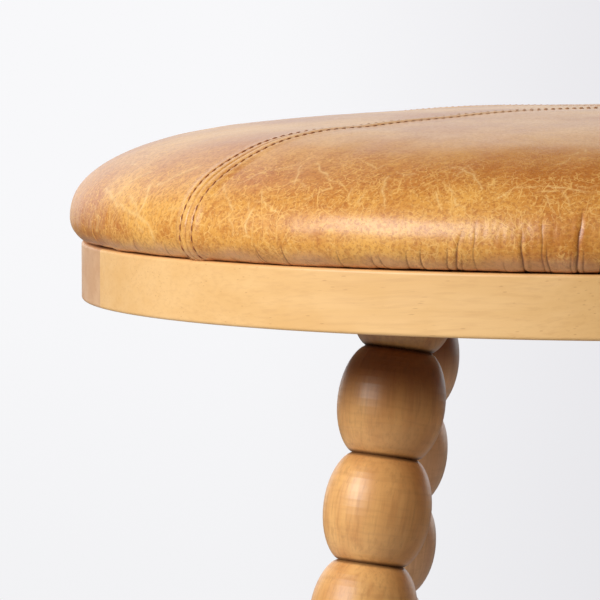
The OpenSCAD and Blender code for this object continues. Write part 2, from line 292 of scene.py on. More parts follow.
class Room(Nodes):
    """The world's nodes: one strength for light, one for mirrored light, and a colour for the camera."""

    def __init__(self, world):
        super().__init__(world)
        split = self.parts(self.add("ShaderNodeTexCoord").outputs["Generated"])
        self.direction = split["X"], split["Y"], split["Z"]

    def glow(self, colour, strength):
        return self.add("ShaderNodeBackground", {"Color": colour, "Strength": strength}).outputs[0]

    def finish(self, lit, mirrored, shown):
        path = self.add("ShaderNodeLightPath").outputs
        plain = (1.0, 1.0, 1.0, 1.0)
        met = self.either(path["Is Glossy Ray"], self.glow(plain, lit), self.glow(plain, mirrored))
        through = self.math("MAXIMUM", path["Is Camera Ray"], path["Is Transmission Ray"])
        self.add("ShaderNodeOutputWorld", {"Surface": self.either(through, met, self.glow(shown, 1.0))})


# Materials

def scuff_net(f, shown):
    """How much of the scuffs is at each place: short strokes and a fine crackle, gathered in patches."""
    bent = f.warp(f.warp(f.stored("skin", "Vector"), 60, 0.006), 220, 0.0022)
    rubbed = f.plus(f.noise(f.place, 48, detail=3, roughness=0.6), f.stored("rubbed"))
    hair = 0.0
    for cell, width, reach, lean, low, high, share in STROKES:
        layer = f.times(f.strokes(bent, cell * MM, width * MM, reach * MM, lean), share)
        hair = f.math("MAXIMUM", hair, f.times(layer, f.step(rubbed, low, high)))
    curled = f.warp(f.warp(f.place, 90, 0.007), 330, 0.0009)
    for scale, thin, thick, share in CRACKLES:
        lines = f.step(f.cells(curled, scale, "DISTANCE_TO_EDGE"), thick, thin)
        broken = f.step(f.noise(f.place, 1.3 * scale, roughness=0.6), 0.47, 0.58)
        lines = f.times(f.times(lines, broken), f.step(rubbed, 0.36, 0.60, 0.15, share))
        hair = f.math("MAXIMUM", hair, lines)
    return f.times(hair, shown)


def leather_finish():
    """Waxed pull-up leather: amber with darker clouds, fine mottle and a net of pale hair-thin scuffs."""
    f = Finish("leather_pull_up", Specular_IOR_Level=0.4, Coat_Weight=0.40, Coat_Roughness=0.24)
    clouds = f.noise(f.place, 30, detail=3, roughness=0.55)
    mottle = f.noise(f.place, 760, detail=3, roughness=0.75)
    blots = f.noise(f.place, 210, detail=4, roughness=0.7)
    streaks = f.noise(f.stretch(f.place, 1, 1, 5), 260, detail=3, roughness=0.65)
    shown = f.step(f.length(f.stretch(f.place, 1, 1, 0)), 178 * MM, 203 * MM, 0.4, 1.0)
    depth = f.plus(f.stored("tone"), f.times(f.minus(clouds, 0.5), 1.1))
    f.colour = f.blend(f.step(depth, 0.0, 1.0), linear(240, 177, 84), linear(198, 119, 38))
    for field, start, end, share, tone in (
            (blots, 0.46, 0.64, 0.5, linear(188, 108, 32)), (mottle, 0.46, 0.62, 0.55, linear(168, 94, 28)),
            (streaks, 0.5, 0.66, 0.25, linear(242, 182, 90))):
        f.tint(f.times(f.step(field, start, end, high=share), shown), tone)
    scuffs = scuff_net(f, shown)
    f.tint(f.times(scuffs, 0.72), linear(250, 196, 110))

    # Long scuffs; wear and a painted highlight on the seams' bands; a browner strip by the hem, in part
    # painted shade
    for name, share, tone in (
            ("scored", 0.75, linear(253, 210, 138)), ("wear_and_highlight", 0.35, linear(250, 196, 116)),
            ("hem_shade_and_tone", 0.75, linear(228, 172, 126))):
        f.tint(f.times(f.stored(name), share), tone)

    # Painted shade: fine dark lines of small wrinkles by the hem, and dark lines in the creases' valleys,
    # the stitch furrows and the seams' butt lines
    wrinkle_shade = f.noise(f.stretch(f.place, 1, 1, 0.12), 620, detail=3, roughness=0.7)
    f.tint(f.times(f.step(wrinkle_shade, 0.5, 0.66, high=0.45), f.stored("hem_shade_and_tone")), linear(150, 96, 58))
    f.tint(f.times(f.stored("hollow_shade"), 0.85), linear(108, 56, 22))

    relief = f.bump(f.cells(f.warp(f.place, 700, 0.001), 1150), 0.00015, 0.2)
    relief = f.bump(scuffs, 0.00010, 0.4, relief)
    roughness = f.plus(f.step(mottle, 0.3, 0.7, 0.38, 0.48), f.times(scuffs, 0.12))
    return f.wire(Base_Color=f.colour, Roughness=roughness, Normal=relief)


def wood_finish(name, grain, pale, deep, fleck, roughness, figure=0.5, marks=0.6, grooves=None, coat=0.12):
    """Oiled beech: fine streaks and short brown flecks along the Z axis of the frame given as grain.

    Grooves holds the place of one groove along the grain and their pitch, for a turning."""
    f = Finish(name, Roughness=roughness, Coat_Weight=coat, Coat_Roughness=0.3)
    f.local = f.frame(grain)
    along = f.stretch(f.warp(f.local, 9, 0.012), 1, 1, 0.05)
    bands = f.noise(along, 110, detail=3, roughness=0.6)
    streaks = f.noise(along, 800, detail=3, roughness=0.6)
    clouds = f.noise(f.stretch(f.local, 1, 1, 0.6), 42, detail=3, roughness=0.55)
    f.colour = f.blend(f.step(bands, 0.35, 0.68, high=figure), pale, deep)
    f.tint(f.step(streaks, 0.42, 0.72, high=0.35 * figure), fleck)
    f.tint(f.step(clouds, 0.42, 0.68, high=0.5), deep)
    dashes = f.step(f.cells(f.stretch(f.local, 1, 1, 0.14), 900), 0.22, 0.08)
    thinned = f.step(f.noise(f.local, 90), 0.42, 0.6)
    f.tint(f.times(f.times(dashes, thinned), marks), fleck)
    if grooves:
        groove_marks_and_shade(f, fleck, *grooves)
    sheen = f.step(bands, 0.3, 0.7, roughness - 0.04, roughness + 0.06)
    f.wire(Base_Color=f.colour, Roughness=sheen, Normal=f.bump(streaks, 0.00006, 0.3))
    return f


def groove_marks_and_shade(f, fleck, first, pitch):
    """Faint tool marks round a turning, and painted shade, a dark line in each groove."""
    tooled = f.noise(f.stretch(f.warp(f.local, 60, 0.003), 0.1, 0.1, 1), 600, detail=4)
    f.tint(f.step(tooled, 0.46, 0.68, high=0.13), fleck)
    pitches = f.math("DIVIDE", f.minus(f.parts(f.local)["Z"], first), pitch)
    turns = f.minus(f.math("FRACT", f.plus(pitches, 0.5)), 0.5)
    away = f.times(f.math("ABSOLUTE", turns), pitch)
    # Painted shade: a dark line in each groove
    f.tint(f.step(away, 1.5 * MM, 0.3 * MM, high=0.75), linear(92, 52, 26))


def darkened(f, tone, start, full, until, end, left=0.0):
    """Darkens a wood along the grain: in from start to full, and from until to what is left at end. On the
    legs this is painted shade; by the hoop's joint it is the wood's own darker tone.
    """
    height = f.parts(f.local)["Z"]
    f.tint(f.times(f.step(height, start, full), f.step(height, until, end, 1.0, left)), tone, "MULTIPLY")
    f.wire(Base_Color=f.colour)


def fibre_finish(name, pale, deep, scale):
    """Wadding or foam: a soft, matt, slightly clouded fill."""
    f = Finish(name, Roughness=0.95, Sheen_Weight=0.3)
    clouds = f.noise(f.place, scale, detail=4, roughness=0.7)
    pores = f.cells(f.place, scale * 6)
    colour = f.blend(f.step(clouds, 0.35, 0.65), pale, deep)
    return f.wire(Base_Color=colour, Normal=f.bump(f.plus(clouds, pores), 0.0006, 0.5))


def plywood_finish():
    """Birch plywood: pale faces, and thin dark lines between the plies at the edge."""
    f = Finish("birch_plywood", Roughness=0.6)
    plies = f.math("FRACT", f.times(f.parts(f.place)["Z"], 1 / PLY_T))
    grain = f.noise(f.stretch(f.place, 0.06, 1, 1), 420, detail=3)
    f.colour = f.blend(f.step(grain, 0.35, 0.7), linear(232, 206, 164), linear(212, 180, 134))
    f.tint(f.step(plies, 0.18, 0.0, high=0.5), linear(150, 106, 66))
    return f.wire(Base_Color=f.colour, Normal=f.bump(grain, 0.0001, 0.4))


def steel_finish():
    """Bright zinc plating with a faint clouded spangle."""
    f = Finish("zinc_plated_steel", Metallic=1.0, Roughness=0.35)
    spangle = f.cells(f.place, 700)
    colour = f.blend(f.step(spangle, 0.1, 0.6), linear(186, 188, 190), linear(212, 212, 208))
    return f.wire(Base_Color=colour, Roughness=f.step(spangle, 0.1, 0.6, 0.28, 0.42))


def nylon_finish():
    """Moulded glide: off-black nylon with a fine spark-eroded surface."""
    f = Finish("glide_nylon_moulded", Roughness=0.5)
    fine = f.noise(f.place, 1500)
    colour = f.blend(f.step(fine, 0.3, 0.7), linear(52, 46, 41), linear(70, 63, 56))
    return f.wire(Base_Color=colour, Normal=f.bump(fine, 0.00006, 0.5))


def thread_finish():
    """Waxed brown thread, twisted from fine strands, paler towards the back."""
    f = Finish("waxed_thread", Roughness=0.55, Sheen_Weight=0.15)
    strands = f.noise(f.place, 3200)
    f.colour = f.blend(f.step(strands, 0.35, 0.65), linear(138, 76, 34), linear(178, 106, 54))
    # Paler towards the back
    f.tint(f.step(f.parts(f.place)["Y"], -125 * MM, -60 * MM, high=0.6), linear(214, 156, 102))
    return f.wire(Base_Color=f.colour, Normal=f.bump(strands, 0.0001, 0.6))


# Frames for the grain, with Z along it

def direction(turn, rise=0.0):
    """A direction from its azimuth and its rise, both in radians."""
    return Vector((math.cos(turn) * math.cos(rise), math.sin(turn) * math.cos(rise), math.sin(rise)))


def frame_along(place, towards):
    """A frame at a place, with Z along a direction."""
    return Matrix.Translation(place) @ towards.to_track_quat("Z", "Y").to_matrix().to_4x4()


def leg_frame(turn):
    """Where a leg leaves the seat, with Z along the leg."""
    out = Matrix.Rotation(math.radians(turn), 4, "Z") @ Matrix.Translation((LEG_CIRCLE_R, 0, 0))
    return Matrix.Translation((0, 0, RING_BOTTOM_Z)) @ out @ Matrix.Rotation(-LEG_SPLAY, 4, "Y")


def round_frame(middle, rise):
    """The frame of a hoop segment, cut from a straight board along the tangent at its middle."""
    turn = math.radians(middle)
    return frame_along(direction(turn) * RING_R, direction(turn + math.pi / 2, math.radians(rise)))


# Cushion cover

def round_place(out, azimuth, up):
    """Places from their distance to the axis, azimuth in degrees and height, as rows x, y, z."""
    turn = np.radians(azimuth)
    return np.stack([out * np.cos(turn), out * np.sin(turn), np.broadcast_to(up, turn.shape)], axis=-1)


def cushion_profile():
    """Radius and height along the cover, from the crown over the girth to the hem, finely spaced."""
    angle = np.radians(np.linspace(90, 0, 3000))
    dome_r = CUSHION_R * np.cos(angle).clip(0) ** (2 / DOME_OUT_POWER)
    dome_z = GIRTH_Z + (CROWN_Z - GIRTH_Z) * np.sin(angle).clip(0) ** (2 / DOME_UP_POWER)
    tuck = np.linspace(np.pi / 2, 0, 200)[1:]
    radius = np.concatenate([dome_r, CUSHION_R - TUCK_W + TUCK_W * np.sin(tuck)])
    height = np.concatenate([dome_z, GIRTH_Z - (GIRTH_Z - HEM_Z) * np.cos(tuck)])
    radius[0] = 0.0
    length = np.concatenate([[0], np.cumsum(np.hypot(np.diff(radius), np.diff(height)))])
    return length, radius, height


class Dome:
    """The plain cover: a place on it is a length down from the crown and an azimuth in degrees."""

    def __init__(self):
        self.length, self.radius, self.height = cushion_profile()
        self.end = self.length[-1]
        self.normal_r = -np.gradient(self.height, self.length)
        self.normal_z = np.gradient(self.radius, self.length)

    def at(self, table, down):
        return np.interp(down, self.length, table)

    def point(self, down, azimuth, lift):
        """Places at a height over the cover, as rows x, y, z."""
        out = self.at(self.radius, down) + lift * self.at(self.normal_r, down)
        up = self.at(self.height, down) + lift * self.at(self.normal_z, down)
        return round_place(out, azimuth, up)


def swell(place, wavelength, seed):
    """A smooth random swell between about -1 and 1, as a sum of plane waves."""
    rng = np.random.default_rng(seed)
    total = np.zeros(place.shape[:-1])
    waves = 14
    for _ in range(waves):
        heading = rng.normal(size=3)
        heading /= np.linalg.norm(heading)
        pitch = wavelength * rng.uniform(0.7, 1.6)
        total += np.cos(place @ heading * 2 * np.pi / pitch + rng.uniform(0, 2 * np.pi))
    return total / math.sqrt(waves)


def bell(distance, width):
    return np.exp(-((distance / width) ** 2))


def ease(value, start, end):
    """Goes smoothly from 0 at start to 1 at end."""
    share = np.clip((value - start) / (end - start), 0, 1)
    return share * share * (3 - 2 * share)


def degrees_from(middle, azimuth):
    """How far an azimuth lies past a middle one, from -180 to 180."""
    return (azimuth - middle + 180) % 360 - 180


# Creases that the photograph shows by the hem: azimuth at the hem, reach up from the hem in mm,
# lean in degrees of azimuth from the hem to the top, and depth in mm
SEEN_CREASES = [
    (-150.3, 11, 0.6, 0.2), (-147.3, 14, 1.2, 0.45), (-141.6, 11, 1.0, 0.5), (-131.5, 7, -0.4, 0.2),
    (-128.0, 10, 0.1, 0.25), (-127.4, 13, -0.6, 0.45), (-124.7, 13, 0.1, 0.5), (-122.0, 8, -0.3, 0.2),
    (-118.7, 12, 0.2, 0.4), (-115.2, 11, 0.1, 0.4), (-114.1, 11, -0.4, 0.4), (-111.9, 12, 0.4, 0.45),
    (-110.4, 14, 0.3, 0.6), (-108.0, 15, 0.5, 0.5), (-107.2, 19, 0.9, 0.75), (-106.7, 10, 0.4, 0.3),
    (-105.3, 26, 0.3, 0.22), (-102.6, 9, 0.1, 0.25), (-100.8, 20, -0.1, 0.9), (-99.0, 25, -0.1, 0.38),
    (-98.5, 16, -0.2, 0.45), (-96.6, 12, 0.1, 0.4), (-96.1, 29, 0.6, 1.1), (-95.5, 15, 0.1, 0.35),
    (-94.1, 8, 0.2, 0.4), (-92.6, 14, -0.3, 0.6), (-90.5, 9, 0.2, 0.5),
]

# Patches of deeper or paler leather that the photograph shows: azimuth, length down from the crown in mm,
# half width and half height in mm, and how much deeper, or less than 0 for paler
SEEN_PATCHES = [
    (-111.6, 217, 24, 8, -0.12), (-104.2, 201, 28, 10, 0.32), (-96.8, 208, 24, 12, 0.42),
    (-95.3, 231, 16, 7, 0.15), (-132.5, 209, 12, 6, 0.3), (-128.7, 207, 14, 7, 0.25),
    (-121.5, 211, 16, 8, 0.25), (-148.5, 226, 30, 12, -0.25), (-129.0, 232, 30, 9, -0.1),
    (-160.0, 226, 24, 14, 0.2), (-112.0, 234, 30, 5, -0.1), (-104.0, 226, 16, 8, -0.05),
    (-136.0, 220, 8, 8, -0.2), (-103.0, 184, 40, 10, 0.07), (-96.0, 190, 26, 8, 0.1),
    (-157.6, 226, 7, 6, 0.45), (-149.1, 234, 9, 4, 0.5), (-140.7, 233, 9, 5, 0.45),
    (-153.6, 231, 6, 4, 0.4), (-145.8, 228, 6, 5, -0.25), (-150.5, 219, 12, 5, -0.2),
    (-114.0, 240, 26, 9, -0.3), (-97.0, 243, 30, 8, 0.3),
]

# Patches where scuffs gather, in the same terms
SEEN_SCUFFS = [
    (-115.2, 211, 16, 9, 0.14), (-106.3, 207, 20, 9, 0.14), (-122.1, 221, 14, 14, 0.12),
    (-148.0, 224, 26, 16, 0.24), (-129.7, 224, 16, 11, 0.12), (-138.0, 214, 14, 12, 0.06),
    (-99.0, 212, 26, 8, 0.12), (-108.0, 226, 14, 8, 0.06), (-145.8, 228, 7, 6, 0.2),
    (-152.0, 220, 10, 5, 0.1), (-144.5, 218, 9, 5, 0.1),
]

# Long pale scuffs that the photograph shows: strength, then the places along each, as azimuth and length
# down from the crown in mm
SEEN_SCORES = [
    (0.6, [(-152.9, 223), (-152.2, 222), (-151.6, 216), (-150.3, 211), (-149.7, 209)]),
    (0.7, [(-145.3, 216), (-144.6, 215), (-143.6, 211), (-142.5, 206), (-141.7, 204)]),
    (0.9, [(-145.4, 229), (-145.2, 224), (-146.7, 216)]),
    (0.7, [(-145.4, 229), (-147.2, 225), (-149.0, 222)]),
    (0.8, [(-145.4, 229), (-144.2, 231), (-142.7, 234), (-142.4, 237)]),
    (0.8, [(-145.4, 229), (-148.0, 228), (-150.7, 226), (-152.8, 223), (-156.9, 220)]),
    (0.5, [(-145.4, 229), (-145.8, 232), (-144.2, 235)]),
    (0.5, [(-156.7, 228), (-154.6, 233), (-155.7, 237)]),
    (0.5, [(-140.6, 226), (-138.6, 225)]),
    (0.9, [(-134.7, 213), (-132.9, 219), (-131.2, 224)]),
    (0.6, [(-135.4, 220), (-133.4, 218)]),
    (0.7, [(-132.6, 213), (-132.0, 211), (-131.2, 206), (-129.5, 203), (-127.8, 200)]),
    (0.9, [(-125.5, 211), (-125.8, 208), (-127.0, 200)]),
    (0.6, [(-128.8, 221), (-128.2, 220)]),
    (0.8, [(-129.0, 216), (-128.0, 219), (-127.3, 222), (-125.7, 224)]),
    (1.0, [(-128.8, 233), (-129.1, 230), (-128.9, 226), (-128.5, 223)]),
    (0.6, [(-129.6, 221), (-128.7, 226)]),
    (0.7, [(-123.1, 219), (-122.0, 216), (-120.9, 213)]),
    (0.9, [(-125.5, 197), (-123.6, 203), (-122.3, 207)]),
    (0.5, [(-131.5, 226), (-130.8, 230), (-130.5, 233)]),
    (0.5, [(-126.2, 212), (-125.6, 209), (-123.9, 213)]),
    (0.9, [(-121.9, 208), (-120.6, 210), (-119.6, 211)]),
    (0.8, [(-115.5, 206), (-115.5, 208), (-115.1, 212), (-114.1, 222)]),
    (0.6, [(-117.0, 219), (-116.9, 216), (-116.8, 214)]),
    (0.7, [(-109.6, 214), (-109.1, 218), (-108.6, 222)]),
    (0.9, [(-109.1, 210), (-107.8, 215), (-107.2, 219), (-106.3, 221)]),
    (0.6, [(-119.4, 196), (-117.5, 200), (-116.8, 195), (-116.0, 189)]),
    (0.7, [(-110.7, 193), (-109.4, 198), (-108.3, 200), (-108.2, 204)]),
    (0.6, [(-115.0, 202), (-114.0, 204), (-112.8, 203)]),
    (0.6, [(-118.7, 213), (-118.1, 219)]),
    (0.9, [(-108.7, 198), (-107.8, 201), (-106.8, 203), (-105.8, 209), (-105.3, 212)]),
    (0.6, [(-108.0, 196), (-106.8, 202), (-106.4, 207)]),
    (0.9, [(-103.5, 216), (-102.7, 213), (-102.0, 211), (-99.4, 210), (-98.1, 211), (-96.5, 212),
           (-94.2, 213)]),
    (0.6, [(-100.0, 213), (-98.8, 213), (-97.6, 213)]),
    (0.7, [(-97.6, 213), (-97.2, 216), (-96.9, 220)]),
    (0.5, [(-99.2, 215), (-98.7, 218)]),
    (0.6, [(-100.1, 192), (-99.0, 187), (-97.8, 184), (-96.1, 177)]),
    (0.5, [(-99.6, 195), (-98.5, 193), (-97.6, 187)]),
    (0.5, [(-105.4, 210), (-104.2, 209)]),
    (0.5, [(-96.5, 209), (-95.6, 211), (-94.4, 210)]),
]


def patch_sum(patches, down, azimuth, dome):
    """Adds up soft patches over the cover."""
    total = np.zeros_like(down)
    radius = dome.at(dome.radius, down)
    for turn, length, half_width, half_height, amount in patches:
        off = np.radians(degrees_from(turn, azimuth)) * radius
        total += amount * bell(off, half_width * MM) * bell(down - length * MM, half_height * MM)
    return total


def more_scores():
    """Scuffs like the seen ones on the sides that the photograph doesn't show."""
    rng = np.random.default_rng(17)
    scores = []
    azimuth = SHOWN_TO
    while azimuth < 200:
        turn, down = azimuth, rng.uniform(204, 234)
        line = [(turn, down)]
        heading = rng.uniform(0, 2 * np.pi)
        for _ in range(rng.integers(1, 5)):
            heading += rng.uniform(-0.5, 0.5)
            turn, down = turn + 1.4 * math.cos(heading), min(down + 4.5 * math.sin(heading), 238)
            line.append((turn, down))
        scores.append((rng.uniform(0.5, 0.9), line))
        azimuth += rng.uniform(0.6, 4.0)
    return scores


def scored(down, azimuth, places, dome):
    """How much of a long scuff is at each place on the cover: thin wandering lines with a faint halo."""
    mask = np.zeros_like(down)
    radius = dome.at(dome.radius, down)
    wander = 0.45 * MM * np.stack([swell(places, 7 * MM, seed) for seed in (31, 32)], -1)
    faded = (0.75 + 0.3 * swell(places, 5 * MM, 33)).clip(0.1, 1)
    for strength, line in SEEN_SCORES + more_scores():
        breadth = 0.55 * MM if line[0][0] < SEAM_TURN else 0.27 * MM
        for (turn, start), (next_turn, end) in zip(line, line[1:]):
            off, length = degrees_from(turn, azimuth), down - start * MM
            here = np.abs(off) < abs(next_turn - turn) + 1
            here &= np.abs(length) < (abs(end - start) + 4) * MM
            if not here.any():
                continue
            scale = np.radians(1) * radius[here].mean()
            place = np.stack([off[here] * scale, length[here]], -1) + wander[here]
            reach = np.array([(next_turn - turn) * scale, (end - start) * MM])
            along = np.clip(place @ reach / (reach @ reach), 0, 1)
            distance = np.linalg.norm(place - along[:, None] * reach, axis=-1)
            drawn = 0.8 * bell(distance, breadth) + 0.2 * bell(distance, 3 * breadth)
            mask[here] = np.maximum(mask[here], strength * faded[here] * drawn)
    return mask


def more_creases():
    """Creases like the seen ones on the sides that the photograph doesn't show."""
    rng = np.random.default_rng(11)
    creases = []
    azimuth = SHOWN_TO - 1
    while azimuth < 206:
        deep = rng.random() < 0.22
        reach = rng.uniform(10, 19) if deep else rng.uniform(3, 8)
        depth = rng.uniform(0.6, 1.0) if deep else rng.uniform(0.2, 0.5)
        creases.append((azimuth, reach, rng.uniform(-0.9, 0.9), depth))
        azimuth += rng.uniform(1.0, 4.5)
    return creases


def crease_relief(down, azimuth, dome):
    """How far the creases draw the leather in, and how much painted shade of a crease's valley is at each
    place.
    """
    lift, valley_shade = np.zeros_like(down), np.zeros_like(down)
    above = (dome.end - down) / MM
    radius = dome.at(dome.radius, down) / MM
    for turn, reach, lean, depth in SEEN_CREASES + more_creases():
        here = (above < 1.15 * reach) & (np.abs(degrees_from(turn, azimuth)) < 4)
        if not here.any():
            continue
        share = above[here] / reach
        fade = 1 - ease(share, 0.55, 1.1)
        off = degrees_from(turn + lean * share ** 1.3, azimuth[here])
        distance = radius[here] * np.radians(off) + 0.15 * np.sin(above[here] * 0.6 + turn)
        width = 0.32 + 0.25 * depth
        cut = np.exp(-np.abs(distance) / width)
        flank = bell(np.abs(distance) - 2.6 * width, 1.4 * width)
        lift[here] += fade * depth * MM * (0.07 * flank - 0.40 * cut)
        # A thin dark line of painted shade along the crease's valley
        line = bell(distance, (0.22 + 0.15 * depth) * (1.15 - 0.45 * share))
        valley_shade[here] = np.maximum(valley_shade[here], fade * line * min(1, 0.40 + depth))
    return lift, valley_shade


def narrowed(down, dome):
    """Width of a seam's band, as a share: it is pulled narrower where the cover bends over the rim."""
    return 1 - 0.18 * ease(dome.end - down, 40 * MM, 22 * MM)


def seam_distance(down, azimuth, dome):
    """Signed distance in metres to the nearest seam, as if its band were nowhere narrowed."""
    off = (azimuth - SEAM_TURN + QUARTER / 2) % QUARTER - QUARTER / 2
    return dome.at(dome.radius, down) * np.sin(np.radians(off)) / narrowed(down, dome)


def seam_relief(distance, down, azimuth):
    """The band over a seam: its butt line, a furrow under each stitch row, and a ridge between them."""
    away = np.abs(distance)
    at_back = ease(np.sin(np.radians(azimuth)), 0, 0.5)
    low = ease(down, 188 * MM, 216 * MM)
    upper = ease(down, 30 * MM, 70 * MM) * (1 - ease(down, 150 * MM, 195 * MM))
    proud = 0.25 + (0.05 + 1.0 * at_back) * ease(down, 40 * MM, 120 * MM) + (0.6 - 0.85 * at_back) * low
    band = proud * BAND_T * (1 - ease(away, 0.62 * BAND_HALF_W, 1.35 * BAND_HALF_W))
    stitch = 0.5 + 0.5 * np.cos((down - SEAM_START) / STITCH_PITCH * 2 * np.pi)
    sewn = 1 - 0.5 * (1 - low) * (1 - at_back)
    furrow = FURROW * (2 - stitch) * sewn * bell(away - STITCH_OFFSET, 0.6 * MM)
    butt = BUTT * (1 - upper) * sewn * bell(distance, 0.30 * MM)
    pillow = PILLOW * (1 + stitch) * sewn * bell(away - 1.5 * MM, 0.9 * MM)
    ridge = RIDGE * upper * (1 - at_back) * bell(distance, 2.2 * MM)
    return band - furrow - butt + pillow + ridge


def settled(down, azimuth, dome):
    """How far the filling has sunk, least at the back, less how far it stands out by the front seam."""
    radius = dome.at(dome.radius, down)
    by_seam = bell(degrees_from(SEAM_TURN, azimuth), FULLER_TURN)
    least = bell(degrees_from(SETTLED_LEAST_AT, azimuth), 45)
    sunk = SETTLED * bell(radius - SETTLED_R, SETTLED_W) * (1 - 0.5 * least)
    fuller = FULLER * by_seam * bell(radius - FULLER_R, FULLER_W)
    return sunk * (1 - by_seam * ease(radius, 130 * MM, 165 * MM)) - fuller


def kept_clear(lift):
    """Lets the leather sink no deeper than its own thickness less a furrow, above the wadding."""
    deepest, blend = -0.82 * LEATHER_T, 0.12 * MM
    return deepest + blend * np.logaddexp(0, (lift - deepest) / blend)


class Cover:
    """Height of the finished leather over the plain dome."""

    def __init__(self, dome, puff):
        self.dome = dome
        self.puff = puff

    def lift(self, down, azimuth):
        """Height, how much painted shade of a crease's valley is there, and the distance to the nearest
        seam.
        """
        place = self.dome.point(down, azimuth, 0)
        above = self.dome.end - down
        distance = seam_distance(down, azimuth, self.dome)
        inside = ease(np.abs(distance), 4 * MM, 30 * MM)
        slack = 0.08 * MM * (swell(place, 46 * MM, 3) + swell(place, 17 * MM, 4) * inside)
        slack -= settled(down, azimuth, self.dome)
        gathers = 0.12 * MM * swell(place * (1, 1, 0.2), 9 * MM, 5) * ease(above, 26 * MM, 4 * MM)
        pulled = np.maximum(bell(azimuth + 100, 7), 0.5 * (azimuth > SHOWN_TO))
        pulled *= bell(above - 17 * MM, 11 * MM)
        gathers += 0.045 * MM * swell(place * (1, 1, 0.12), 2.6 * MM, 9) * pulled
        creases, valley_shade = crease_relief(down, azimuth, self.dome)
        filled = kept_clear(self.puff(down, azimuth) + slack)
        return filled + gathers + creases + seam_relief(distance, down, azimuth), valley_shade, distance


def added(name, data):
    """A new object in the scene."""
    item = bpy.data.objects.new(name, data)
    bpy.context.scene.collection.objects.link(item)
    return item


def mesh_piece(name, places, faces):
    mesh = bpy.data.meshes.new(name)
    mesh.from_pydata(places.reshape(-1, 3).tolist(), [], faces)
    mesh.shade_smooth()
    return added(name, mesh)


def grid_faces(rows, columns):
    """Quads between the rows of a grid whose columns run all round."""
    i, j = np.meshgrid(np.arange(rows - 1), np.arange(columns), indexing="ij")
    here, after = i * columns + j, i * columns + (j + 1) % columns
    return np.stack([here, here + columns, after + columns, after], -1).reshape(-1, 4).tolist()


def cloth_puff(dome):
    """The swell of the panels between their seams, by a cloth simulation on a coarse cover.

    The coarse cover is held along the seams and the hem, and a light pressure fills it from inside."""
    rings, columns = CLOTH_RINGS, CLOTH_COLUMNS
    downs = np.linspace(6 * MM, dome.end, rings)
    turns = SEAM_TURN + np.arange(columns) * 360 / columns
    down, azimuth = np.meshgrid(downs, turns, indexing="ij")
    rest = dome.point(down, azimuth, 0)
    sheet = mesh_piece("cover_cloth", rest, grid_faces(rings, columns))
    fixed = np.zeros((rings, columns), bool)
    fixed[0] = fixed[-2:] = fixed[:, ::columns // 4] = True
    sheet.vertex_groups.new(name="held").add(np.flatnonzero(fixed).tolist(), 1.0, "REPLACE")

    cloth = sheet.modifiers.new("cloth", "CLOTH").settings
    for name, value in CLOTH.items():
        setattr(cloth, name, value)
    cloth.effector_weights.gravity = 0
    scene = bpy.context.scene
    for number in range(CLOTH_FRAMES):
        scene.frame_set(number + 1)
    moved = np.empty(rest.size)
    shown = sheet.evaluated_get(bpy.context.evaluated_depsgraph_get())
    shown.data.vertices.foreach_get("co", moved)
    scene.frame_set(1)
    bpy.data.objects.remove(sheet)

    outward = dome.point(down, azimuth, 1.0) - rest
    rise = ((moved.reshape(rest.shape) - rest) * outward).sum(-1)
    rise = CLOTH_MOST * np.tanh(rise / CLOTH_MOST)

    def puff(at, turn):
        row = np.interp(at, downs, np.arange(rings))
        column = ((turn - SEAM_TURN) % 360) / 360 * columns
        i, j = np.floor(row).astype(int).clip(0, rings - 2), np.floor(column).astype(int) % columns
        u, v = row - i, column - np.floor(column)
        upper = rise[i, j] * (1 - v) + rise[i, (j + 1) % columns] * v
        lower = rise[i + 1, j] * (1 - v) + rise[i + 1, (j + 1) % columns] * v
        return upper * (1 - u) + lower * u

    return puff


def ring_lengths(dome):
    """Lengths down from the crown: wide steps on the crown, narrow ones over the shoulder and the tuck."""
    shoulder, tuck = dome.end - 66 * MM, dome.end - 26 * MM
    wide, narrow = np.arange(1.5 * MM, shoulder, 3 * MM), np.linspace(shoulder, tuck, 60)
    return np.concatenate([wide, narrow, np.linspace(tuck + 0.7 * MM, dome.end, 40)])


def column_shares(start, end):
    """Shares across a panel between two azimuths, closer together where the photograph looks."""
    turns = np.arange(start, end, COLUMN_TURN)
    around = degrees_from(0, turns)
    step = np.where(around > SHOWN_WELL_FROM, 1, 2)
    step = np.where((around > SHOWN_FROM) & (around < SHOWN_TO), step, 6)
    kept = np.cumsum(1 / step) % 1 < 1 / step
    shares = (turns[kept] - start) / (end - start)
    return shares[(shares > 0) & (shares < 1)]


def cover_columns(radius, band_share):
    """Azimuths of the columns at each radius: parallel to the seams beside them, even in between."""
    offsets = np.array(BAND_COLUMNS) * MM * band_share[:, None]
    near = np.degrees(np.arcsin(offsets / np.maximum(radius, APEX_R)[:, None]))
    edge = near[:, -1:]
    columns = []
    for quarter in range(4):
        start = SEAM_TURN + QUARTER * quarter
        between = edge + column_shares(start, start + QUARTER) * (QUARTER - 2 * edge)
        columns.append(start + np.concatenate([near, between, QUARTER - near[:, :0:-1]], axis=1))
    return np.concatenate(columns, axis=1)


def with_hem(places, azimuth):
    """The cover's rows and those of its turned-in hem: flat under the board, then its cut edge."""
    tucked, cut = CUSHION_R - TUCK_W, CUSHION_R - TUCK_W - HEM_W
    rows = [places]
    for radius, up in ((tucked - 0.3 * HEM_W, 0), (cut, 0), (cut, 0.9 * LEATHER_T)):
        rows.append(round_place(radius, azimuth, HEM_Z + up)[None])
    return np.concatenate(rows)


